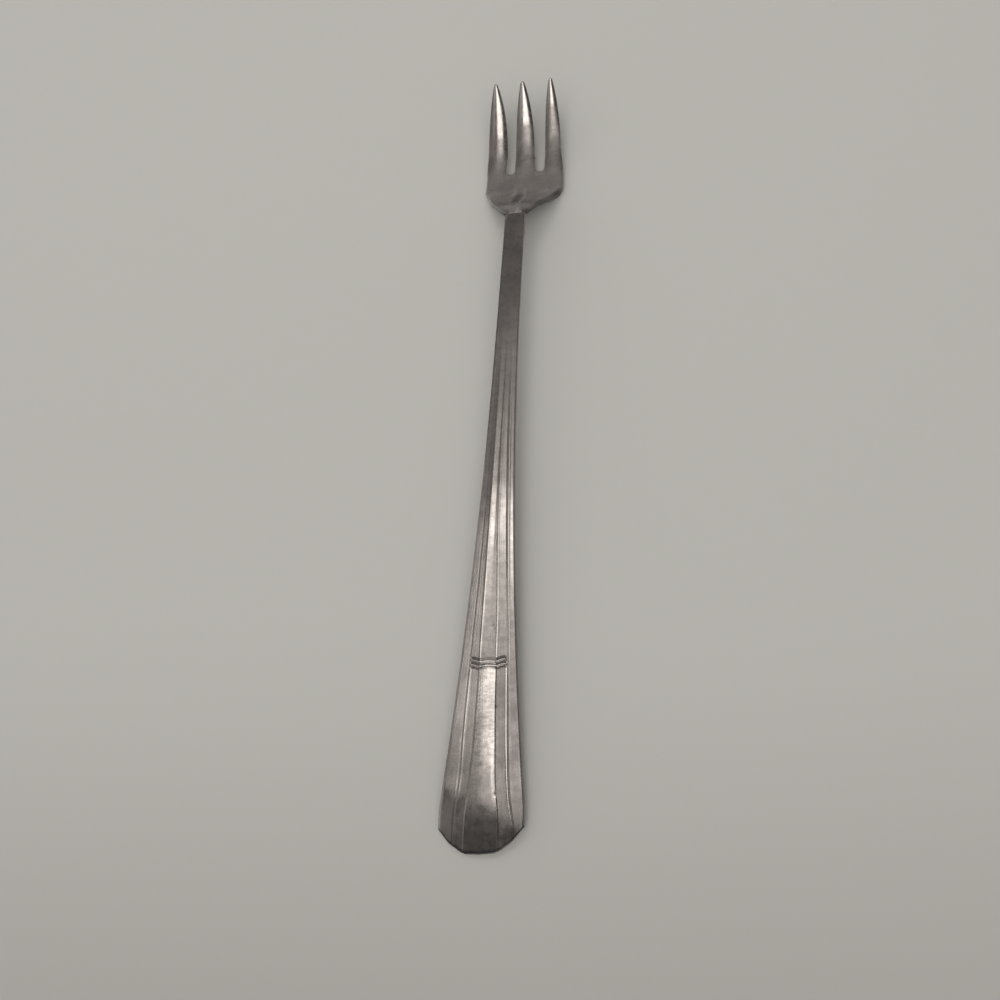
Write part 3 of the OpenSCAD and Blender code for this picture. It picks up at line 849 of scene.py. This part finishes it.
# The bevel at the right of the base: its width, its depth and how far it takes to come in and go. Its rim,
# which holds a painted highlight: how far beyond the bevel, its width, and its span from the seat
RIGHT_BEVEL_W = 1.3
RIGHT_BEVEL_H = 0.8
RIGHT_BEVEL_FADE_L = 3
BEVEL_RIM_OUT_W = 0.05
BEVEL_RIM_W = 0.12
BEVEL_RIM_SPAN = (2, 5)


def right_bevel(x, s, edge):
    """The bevel at the right of the base and its rim with a painted highlight, from 0 to 1, by the distance
    from the edge.
    """
    begins = ease(s, SEAT_S, SEAT_S + RIGHT_BEVEL_FADE_L)
    at_right = begins * (1 - ease(s, SHOULDER_S - RIGHT_BEVEL_FADE_L, SHOULDER_S)) * (x > 0)
    bevel = at_right * ease(RIGHT_BEVEL_W - edge, 0, RIGHT_BEVEL_W)
    rim = at_right * hill(edge, RIGHT_BEVEL_W + BEVEL_RIM_OUT_W, BEVEL_RIM_W)
    return bevel, rim * past(s - SEAT_S, BEVEL_RIM_SPAN)


# Rounded edges of the base and of the neck, the uneven surface, and lengths over which the forms of the
# base come in past the seat and go before the roots
BASE_EDGE_W = 0.35
NECK_EDGE_W = 0.6
BASE_EDGE_H = 0.3
HEAD_LAYERS = [(0.014, 5, 4), (0.006, 6, 1.3)]
SEAT_FADE_L = 1
ROOT_FADE_L = 1


def head_face_h(x, s, down, thick):
    """Height of the head's upper face."""
    half_w = base_x(s, x < 0)
    edge = half_w - np.abs(x)
    begun = np.stack([past(s[:, k], CROWN_SPANS[line.side]) for k, line in enumerate(HEAD_LINES)], axis=1)
    crown = CROWN_H * between(CROWN_ROOT_SHARE, 1, begun) * np.minimum(1, thick / TINE_T) * down
    dish = DISH_H * ease(s, SEAT_S, SHOULDER_S) * (1 - way(s, SHOULDER_S, ROOT_S)) * (1 - (x / half_w) ** 2)
    at_neck = 1 - ease(s, HANDLE_L, SEAT_S + SEAT_FADE_L)
    on_base = 1 - ease(s, ROOT_S - ROOT_FADE_L, ROOT_S)
    edges = on_base * edge_drop(edge, between(BASE_EDGE_W, NECK_EDGE_W, at_neck), BASE_EDGE_H)
    lumps = uneven_h(x, s, HEAD_LAYERS) * (1 - way(s, SHOULDER_S, FORK_L))
    hollow, rim = tongue(x, s)
    worked = ease(s, SEAT_S, SEAT_S + SEAT_FADE_L) * (lumps - TONGUE_H * hollow + TONGUE_RIM_H * rim)
    bevel, _ = right_bevel(x, s, edge)
    z = head_h(s) - sag_h(x, s) - crown - dish + edges + worked - RIGHT_BEVEL_H * bevel
    return np.where(s <= HANDLE_L, LAP_H, z)


# How worn the head is along its base and along each tine, until these shares of the way down its crown, and
# on the rims of the bevel and of the tongue. Along each tine it steps up where the lamp's highlight begins,
# so it also paints that highlight; on the bevel's rim it is a painted highlight
BASE_WORN_SHARES = [(118, 0), (122, 0), (125, 0.3), (128, 0.4), (131, 0.1), (134, 0)]
TINE_WEAR_AND_HIGHLIGHT_SHARES = {
    -1: [(138.8, 0), (140.3, 0.35), (142.9, 0.3), (144.2, 0.75), (148, 0.9), (154, 1)],
    0: [(140, 0), (142, 0.15), (145.2, 0.2), (146.4, 1), (154, 1)],
    1: [(141, 0), (143, 0.15), (148.2, 0.25), (149.4, 0.9), (154, 1)]}
CROWN_WEAR_AND_HIGHLIGHT_SHARES = (0.3, 0.7)
BEVEL_RIM_HIGHLIGHT_SHARE = 0.6
TONGUE_RIM_WORN_SHARE = 0.15
# How dark the joint is, and the painted shade on the bevel and on the walls. The joint's span is from the
# end of the stem
JOINT_DARK_SHARE = 0.8
JOINT_DARK_SPAN = (0.1, 0.3)
BEVEL_SHADE_SHARE = 0.9
BEVEL_SHADE_GAIN = 2
WALL_SHADE_SHARE = 0.75
# How much a dull film covers the base, until a span from the roots
BASE_FILM_SHARE = 0.5
FILM_END_SPAN = (-2, 3)


def head_marks(x, s, down):
    """How dark, how worn and how filmed each point of the head's upper face is, painted shade and highlights
    included.
    """
    hollow, tongue_rim = tongue(x, s)
    bevel, bevel_rim = right_bevel(x, s, base_x(s, x < 0) - np.abs(x))
    # Wear along each tine, stepped up where its highlight begins: wear and painted highlight
    columns = [along(TINE_WEAR_AND_HIGHLIGHT_SHARES[line.side], s[:, k]) for k, line in enumerate(HEAD_LINES)]
    wear_and_highlight = along(BASE_WORN_SHARES, s) + np.stack(columns, axis=1) * (1 - way(down, *CROWN_WEAR_AND_HIGHLIGHT_SHARES))
    # A painted highlight on the bevel's rim
    wear_and_highlight = wear_and_highlight + BEVEL_RIM_HIGHLIGHT_SHARE * bevel_rim + TONGUE_RIM_WORN_SHARE * tongue_rim
    joint = JOINT_DARK_SHARE * until(s - HANDLE_L, JOINT_DARK_SPAN)
    # Painted shade on the bevel at the right of the base
    bevel_shade = BEVEL_SHADE_SHARE * np.minimum(1, BEVEL_SHADE_GAIN * bevel)
    # Painted shade in the tongue's hollow, with the dark joint and the bevel's painted shade
    line = np.maximum(np.maximum(hollow, joint), bevel_shade)
    film = BASE_FILM_SHARE * ease(s, HANDLE_L, SEAT_S) * until(s - ROOT_S, FILM_END_SPAN)
    return {"line": line, "wear_and_highlight": np.clip(wear_and_highlight, 0, 1), "film": film, "streak": x}


def make_head():
    grid, root_row = head_grid(0)
    under_grid, _ = head_grid(INSET_W)
    x, s, down = np.moveaxis(grid, 2, 0)
    under_x, under_s, _ = np.moveaxis(under_grid, 2, 0)
    z = head_face_h(x, s, down, head_h(s) - head_under_h(s))
    under_z = np.maximum(0, head_under_h(under_s) - sag_h(under_x, under_s))
    top = np.stack([x, s, z], axis=2)
    bottom = np.stack([under_x, under_s, under_z], axis=2)
    on_tine = np.array([line.on_tine for line in HEAD_LINES])
    filled = np.ones((grid.shape[0] - 1, grid.shape[1] - 1), dtype=bool)
    filled[root_row:, :] = on_tine[:-1] & on_tine[1:]
    # The head's walls get painted shade
    return solid_mesh("three_tined_head", top, bottom, filled, head_marks(x, s, down), WALL_SHADE_SHARE)


# Bead: its taper, its crown and how that falls, how far its top dips and falls, the least that it stands
# above the head, its rough surface, and where it is worn
BEAD_ROWS = 30
BEAD_COLUMNS = 40
BEAD_TAPER_SHARE = 0.3
BEAD_CROWN_H = 0.16
BEAD_CROWN_LOSS_SHARE = 0.95
BEAD_DIP_H = 0.12
BEAD_FALL_H = 0.14
LEAST_BEAD_H = 0.03
BEAD_LAYERS = [(0.04, 21, 0.8), (0.03, 22, 0.4)]
BEAD_WORN_X = 0.3
BEAD_WORN_W = 0.7
BEAD_WORN_SPAN = (-0.08, 0.04)
BEAD_FILM_SHARE = 0.5


def make_bead():
    rows = np.linspace(HANDLE_L, SEAT_S, BEAD_ROWS)
    s, u = np.meshgrid(rows, np.linspace(-1, 1, BEAD_COLUMNS), indexing="ij")
    t = way(s, HANDLE_L, SEAT_S)
    x = u * BEAD_W / 2 * (1 - BEAD_TAPER_SHARE * t ** 2)
    rough = uneven_h(x, s, BEAD_LAYERS)
    crown = BEAD_CROWN_H * np.sqrt(1 - u ** 2) * np.sqrt(1 - BEAD_CROWN_LOSS_SHARE * t)
    z = NECK_H - BEAD_FALL_H * t - BEAD_DIP_H + crown + rough * (1 - u ** 2)
    top = np.stack([x, s, np.maximum(z, head_h(s) + LEAST_BEAD_H)], axis=2)
    bottom = np.stack([x, s, head_h(s)], axis=2)
    filled = np.ones((BEAD_ROWS - 1, BEAD_COLUMNS - 1), dtype=bool)
    wear_and_highlight = hill(x, BEAD_WORN_X, BEAD_WORN_W) * way(rough, *BEAD_WORN_SPAN)
    marks = {"wear_and_highlight": wear_and_highlight, "film": np.full_like(x, BEAD_FILM_SHARE), "streak": x}
    return solid_mesh("braze_bead", top, bottom, filled, marks)


def feed(tree, socket, value):
    """Give a shader socket its value, which is plain or another socket."""
    if isinstance(value, bpy.types.NodeSocket):
        tree.links.new(value, socket)
    else:
        socket.default_value = value


def node(tree, kind, inputs=None, **settings):
    """A new shader node with its inputs and settings."""
    made = tree.nodes.new(kind)
    for key, value in settings.items():
        setattr(made, key, value)
    for name, value in (inputs or {}).items():
        feed(tree, made.inputs[name], value)
    return made


def grey_ramp(tree, value, stops):
    """A grey that follows the value. Each stop has its value and its level."""
    made = node(tree, "ShaderNodeValToRGB", {"Fac": value})
    elements = made.color_ramp.elements
    while len(elements) < len(stops):
        elements.new(0.5)
    for element, (place, level) in zip(elements, stops):
        element.position = place
        element.color = (level, level, level, 1)
    return made.outputs["Color"]


def noise(tree, coordinates, scale, detail, roughness):
    inputs = {"Vector": coordinates, "Scale": scale, "Detail": detail, "Roughness": roughness}
    return node(tree, "ShaderNodeTexNoise", inputs).outputs["Fac"]


def mix(tree, blend, factor, a, b):
    """A mix of two colours."""
    made = node(tree, "ShaderNodeMix", data_type="RGBA", blend_type=blend)
    for name, value in (("Factor", factor), ("A", a), ("B", b)):
        feed(tree, [s for s in made.inputs if s.name == name and s.enabled][0], value)
    return [s for s in made.outputs if s.enabled][0]


def joined(tree, operation, a, b):
    """The sum or product of two values."""
    return node(tree, "ShaderNodeMath", {0: a, 1: b}, operation=operation).outputs["Value"]


def eased(tree, value, span, low, high):
    """From low before the span to high past it, with a soft start and a soft end."""
    inputs = {"Value": value, "From Min": span[0], "From Max": span[1], "To Min": low, "To Max": high}
    return node(tree, "ShaderNodeMapRange", inputs, interpolation_type="SMOOTHSTEP").outputs["Result"]


def attribute(tree, name, strength=1):
    """A mark of the mesh, times the strength."""
    mark = node(tree, "ShaderNodeAttribute", attribute_name=name).outputs["Fac"]
    return mark if strength == 1 else joined(tree, "MULTIPLY", mark, strength)


def new_material(name):
    """A new material, with its node tree and its shader."""
    material = bpy.data.materials.new(name)
    material.use_nodes = True
    return material, material.node_tree, material.node_tree.nodes["Principled BSDF"]


# Textures of the worn metal: scale, detail and roughness of their noise
CLOUD_NOISE = (260, 5, 0.6)
SPECK_NOISE = (5200, 3, 0.7)
SCRATCH_NOISE = (4.5, 3, 0.6)
DASH_NOISE = (2200, 3, 0.6)
PATCH_NOISE = (900, 4, 0.6)
# How strongly each darkens the colour, and the greys by which it does, as value of the noise and level
CLOUD_GREYS = (1.0, [(0.35, 0.8), (0.65, 1.0)])
SPECK_GREYS = (0.5, [(0.3, 0.75), (0.6, 1.0)])
SCRATCH_GREYS = (0.6, [(0.3, 0.7), (0.6, 1.0)])
DASH_STRENGTH = 0.6
DASH_GREYS = [(0.4, 0.6), (0.56, 1.0)]
STAIN_AND_SHADE_STRENGTH = 0.92
# Scratches run along the handle: a metre along it counts as this many millimetres across. Dashes run across
SCRATCH_STRETCH = 60
DASH_STRETCH = (0.45, 1, 1)
# Roughness that patches add, wear over which the dull roughness turns into the bright one, the bump of the
# specks and scratches, and the colour of dark lines, stains and painted shade alike
PATCH_SPAN = (0.3, 0.7)
PATCH_ROUGHNESS = 0.04
WORN_SPAN = (0, 0.7)
SPECK_BUMP_SHARE = 0.3
BUMP_H = 0.015
STAIN_AND_SHADE = (0.037, 0.035, 0.033)


def worn_metal(name, dull, bright, rough_dull, rough_bright, grain):
    """Worn satin metal: cloudy tarnish, bright worn ridges, painted highlights, lines of stain and painted
    shade, fine grain and scratches.
    """
    material, tree, shader = new_material(name)
    coordinates = node(tree, "ShaderNodeTexCoord").outputs["Object"]
    y = node(tree, "ShaderNodeSeparateXYZ", {"Vector": coordinates}).outputs["Y"]
    streaks = {"X": attribute(tree, "streak"), "Y": joined(tree, "MULTIPLY", y, SCRATCH_STRETCH)}
    along_way = node(tree, "ShaderNodeCombineXYZ", streaks).outputs["Vector"]
    dashes = {"Vector": coordinates, "Scale": DASH_STRETCH}
    across_way = node(tree, "ShaderNodeMapping", dashes).outputs["Vector"]

    wear_and_highlight = attribute(tree, "wear_and_highlight")
    speck = noise(tree, coordinates, *SPECK_NOISE)
    scratch = noise(tree, along_way, *SCRATCH_NOISE)
    brushed = attribute(tree, "brushed", DASH_STRENGTH)
    layers = ((noise(tree, coordinates, *CLOUD_NOISE), *CLOUD_GREYS),
              (speck, *SPECK_GREYS),
              (noise(tree, across_way, *DASH_NOISE), brushed, DASH_GREYS),
              (scratch, *SCRATCH_GREYS))
    base = mix(tree, "MIX", wear_and_highlight, (*dull, 1), (*bright, 1))
    for texture, strength, greys in layers:
        base = mix(tree, "MULTIPLY", strength, base, grey_ramp(tree, texture, greys))
    # The line mark darkens the colour with stains and with painted shade
    base = mix(tree, "MIX", attribute(tree, "line", STAIN_AND_SHADE_STRENGTH), base, (*STAIN_AND_SHADE, 1))
    feed(tree, shader.inputs["Base Color"], base)
    feed(tree, shader.inputs["Metallic"], eased(tree, attribute(tree, "film"), (0, 1), 1, 0))

    patch = noise(tree, coordinates, *PATCH_NOISE)
    patches = eased(tree, patch, PATCH_SPAN, -PATCH_ROUGHNESS, PATCH_ROUGHNESS)
    level = eased(tree, wear_and_highlight, WORN_SPAN, rough_dull, rough_bright)
    feed(tree, shader.inputs["Roughness"], joined(tree, "ADD", level, patches))
    height = joined(tree, "ADD", joined(tree, "MULTIPLY", speck, SPECK_BUMP_SHARE), scratch)
    bump = node(tree, "ShaderNodeBump", {"Strength": grain, "Distance": BUMP_H * MM, "Height": height})
    feed(tree, shader.inputs["Normal"], bump.outputs["Normal"])
    return material


# Table: half its width, how far it lies below the fork, its colour, its colour darkened by painted shade
# nearest the camera and where that goes, and its finish
TABLE_HALF_W = 3000
TABLE_GAP = 0.02
TABLE_COLOUR = (0.416, 0.401, 0.373)
TABLE_NEAR_SHADE_COLOUR = (0.32, 0.305, 0.282)
TABLE_NEAR_SHADE_SPAN = (-125, -35)
TABLE_ROUGHNESS = 0.6
TABLE_SPECULAR = 0.2


def make_table():
    mesh = bpy.data.meshes.new("table_top")
    half = TABLE_HALF_W * MM
    corners = [(-half, -half, 0), (half, -half, 0), (half, half, 0), (-half, half, 0)]
    mesh.from_pydata(corners, [], [(0, 1, 2, 3)])
    table = new_object("table_top", mesh)
    table.location.z = -TABLE_GAP * MM
    material, tree, shader = new_material("table_top")
    coordinates = node(tree, "ShaderNodeTexCoord").outputs["Object"]
    y = node(tree, "ShaderNodeSeparateXYZ", {"Vector": coordinates}).outputs["Y"]
    # Painted shade on the table nearest the camera
    near = eased(tree, y, [end * MM for end in TABLE_NEAR_SHADE_SPAN], 1, 0)
    colour = mix(tree, "MIX", near, (*TABLE_COLOUR, 1), (*TABLE_NEAR_SHADE_COLOUR, 1))
    feed(tree, shader.inputs["Base Color"], colour)
    feed(tree, shader.inputs["Roughness"], TABLE_ROUGHNESS)
    feed(tree, shader.inputs["Specular IOR Level"], TABLE_SPECULAR)
    mesh.materials.append(material)


# Lamps: soft panels overhead. Each has its middle, its width and depth, and its radiance
LAMPS = {
    "overhead_panel": ((-50, 126, 450), (180, 194), 3.0),
    "far_panel": ((-50, 300, 450), (200, 150), 0.45),
}
# Room: its level from the horizon to overhead on most sides, on the far side and on the left, and the spans
# in which the far and the left levels take over
ROOM_LEVELS = [(0, 0.8), (0.3, 0.7), (0.6, 0.36), (0.86, 0.29), (0.95, 0.12)]
FAR_LEVELS = [(0, 0.5), (0.35, 0.45), (0.6, 0.31), (0.86, 0.29), (0.95, 0.12)]
LEFT_LEVELS = [(0, 1.1), (0.5, 0.85), (0.9, 0.7)]
FAR_SPAN = (0.25, 0.6)
LEFT_SPAN = (-0.6, -0.3)
# How much of the level is left on the far right, and the way, span and level of the light behind the camera
RIGHT_SHARE = 0.5
RIGHT_SPAN = (0, 0.9)
BEHIND_WAY = (0.1, -0.68, 0.72)
BEHIND_SPAN = (0.8, 0.97)
BEHIND_LEVEL = 3.8


def make_lamps():
    for name, (place, size, radiance) in LAMPS.items():
        data = bpy.data.lights.new(name, "AREA")
        data.shape = "RECTANGLE"
        data.size, data.size_y = [length * MM for length in size]
        data.energy = radiance * math.pi * data.size * data.size_y
        new_object(name, data).location = [length * MM for length in place]


def make_room():
    world = bpy.data.worlds.new("room")
    world.use_nodes = True
    tree = world.node_tree
    seen = node(tree, "ShaderNodeTexCoord").outputs["Generated"]
    x, y, z = node(tree, "ShaderNodeSeparateXYZ", {"Vector": seen}).outputs
    most, far, left = [grey_ramp(tree, z, table) for table in (ROOM_LEVELS, FAR_LEVELS, LEFT_LEVELS)]
    room = mix(tree, "MIX", eased(tree, y, FAR_SPAN, 0, 1), most, far)
    room = mix(tree, "MIX", eased(tree, x, LEFT_SPAN, 1, 0), room, left)
    room = joined(tree, "MULTIPLY", room, eased(tree, x, RIGHT_SPAN, 1, RIGHT_SHARE))
    toward = node(tree, "ShaderNodeVectorMath", {0: seen, 1: BEHIND_WAY}, operation="DOT_PRODUCT")
    behind = eased(tree, toward.outputs["Value"], BEHIND_SPAN, 0, BEHIND_LEVEL)
    background = tree.nodes["Background"]
    feed(tree, background.inputs["Strength"], joined(tree, "ADD", room, behind))
    feed(tree, background.inputs["Color"], (1, 1, 1, 1))
    bpy.context.scene.world = world


# The camera stands at the grip end, a little to the right: its place, its turn in degrees and its lens
CAMERA_PLACE = (41.0, -140.05, 179.26)
CAMERA_TURN = (34.4525, 10.8807, 3.3803)
FOCAL_PX = 1350
FRAME_PX = 1000
SENSOR_W = 36
CLIP_START_L = 10


def make_camera():
    data = bpy.data.cameras.new("photo_camera")
    data.sensor_width = SENSOR_W
    data.lens = FOCAL_PX / FRAME_PX * SENSOR_W
    data.clip_start = CLIP_START_L * MM
    camera = new_object("photo_camera", data)
    camera.location = [length * MM for length in CAMERA_PLACE]
    camera.rotation_euler = [math.radians(turn) for turn in CAMERA_TURN]
    bpy.context.scene.camera = camera


steel = worn_metal("worn_steel", dull=(0.19, 0.17, 0.155), bright=(0.50, 0.45, 0.41),
                   rough_dull=0.3, rough_bright=0.18, grain=0.25)
braze = worn_metal("rough_braze", dull=(0.19, 0.17, 0.155), bright=(0.34, 0.31, 0.285),
                   rough_dull=0.5, rough_bright=0.4, grain=0.8)
for piece, cad_node, material, slot in (
        (make_handle(), "handle", steel, "steel"),
        (make_head(), "tine_head", steel, "steel"),
        (make_bead(), "neck_braze", braze, "braze")):
    piece.data.materials.append(material)
    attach(piece, "root")
    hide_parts(cad_node)

make_table()
make_lamps()
make_room()
make_camera()

scene = bpy.context.scene
scene.view_settings.view_transform = "Standard"
